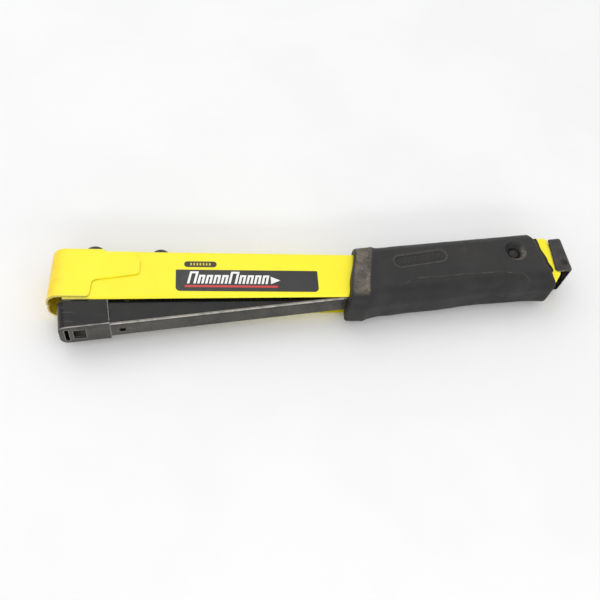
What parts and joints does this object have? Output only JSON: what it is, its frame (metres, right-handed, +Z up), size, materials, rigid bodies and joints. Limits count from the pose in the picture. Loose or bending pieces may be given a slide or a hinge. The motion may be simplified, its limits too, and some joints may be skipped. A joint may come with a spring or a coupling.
{
  "type": "hammer tacker",
  "caption": "Swing-type staple gun with a bent sheet-steel housing, rubber grip, hinged black magazine with nose, sliding pusher rod and rear latch.",
  "frame": {"origin": "bottom centre of the box around the tool as it lies on its side", "axes": "+X along the tool from the striking head to the butt, +Y from the magazine towards the spine, +Z up through the side plates"},
  "size_m": [0.308, 0.068, 0.028],
  "materials": {
    "yellow_paint": "bright yellow baked paint, worn to bare metal at the head's lower edge",
    "black_paint": "satin black baked paint, scuffed along the bends",
    "grip_rubber": "dark grey matt moulded rubber with dust in the recesses",
    "bumper_rubber": "black rubber",
    "hard_steel": "hardened, oiled steel",
    "spring_steel": "drawn spring wire",
    "zinc_plate": "bright zinc plate",
    "black_screw": "black phosphate",
    "black_clip": "satin black spring clip",
    "label_film": "dark grey printed film",
    "badge_film": "dark printed oval"
  },
  "bodies": {
    "root": {"housing": "yellow_paint", "head_wrap": "yellow_paint", "grip": "grip_rubber", "driver_blade": "hard_steel", "driver_bracket": "zinc_plate", "blade_rivets": "zinc_plate", "driver_screw": "black_screw", "spring_screw": "black_screw", "spring_seat": "zinc_plate", "return_spring": "spring_steel", "bumper": "bumper_rubber", "pivot_pin": "black_screw", "pivot_spacers": "zinc_plate", "side_label": "label_film", "badge": "badge_film"},
    "magazine": {"magazine_channel": "black_paint", "staple_rail": "hard_steel", "nose_cover": "black_paint", "nose_plate": "hard_steel", "spring_strap": "zinc_plate", "stop_pin": "hard_steel"},
    "feeder": {"feed_rod": "hard_steel", "end_plug": "zinc_plate", "latch_pin": "black_screw", "pusher_spring": "spring_steel"},
    "latch": {"rear_latch": "black_clip"},
    "pusher": {"pusher": "zinc_plate"}
  },
  "joints": [
    {"name": "magazine_swing", "type": "hinge", "parent": "root", "child": "magazine", "pos_m": [0.11899, 0.01754, 0.014], "axis": [0, 0, -1], "range_deg": [0, 2.8], "stiffness_Nm_per_rad": 90, "springref_deg": -2.69, "deforming": ["return_spring"]},
    {"name": "feeder_slide", "type": "slide", "parent": "magazine", "child": "feeder", "axis": [0.9913, 0.1314, 0], "range_m": [0, 0.25]},
    {"name": "pusher_slide", "type": "slide", "parent": "feeder", "child": "pusher", "axis": [0.9913, 0.1314, 0], "range_m": [0, 0.11], "stiffness_N_per_m": 60, "springref_m": -0.1, "deforming": ["pusher_spring"]},
    {"name": "latch_turn", "type": "hinge", "parent": "feeder", "child": "latch", "pos_m": [0.14959, 0.0112, 0.014], "axis": [0, 0, -1], "range_deg": [0, 20]}
  ]
}
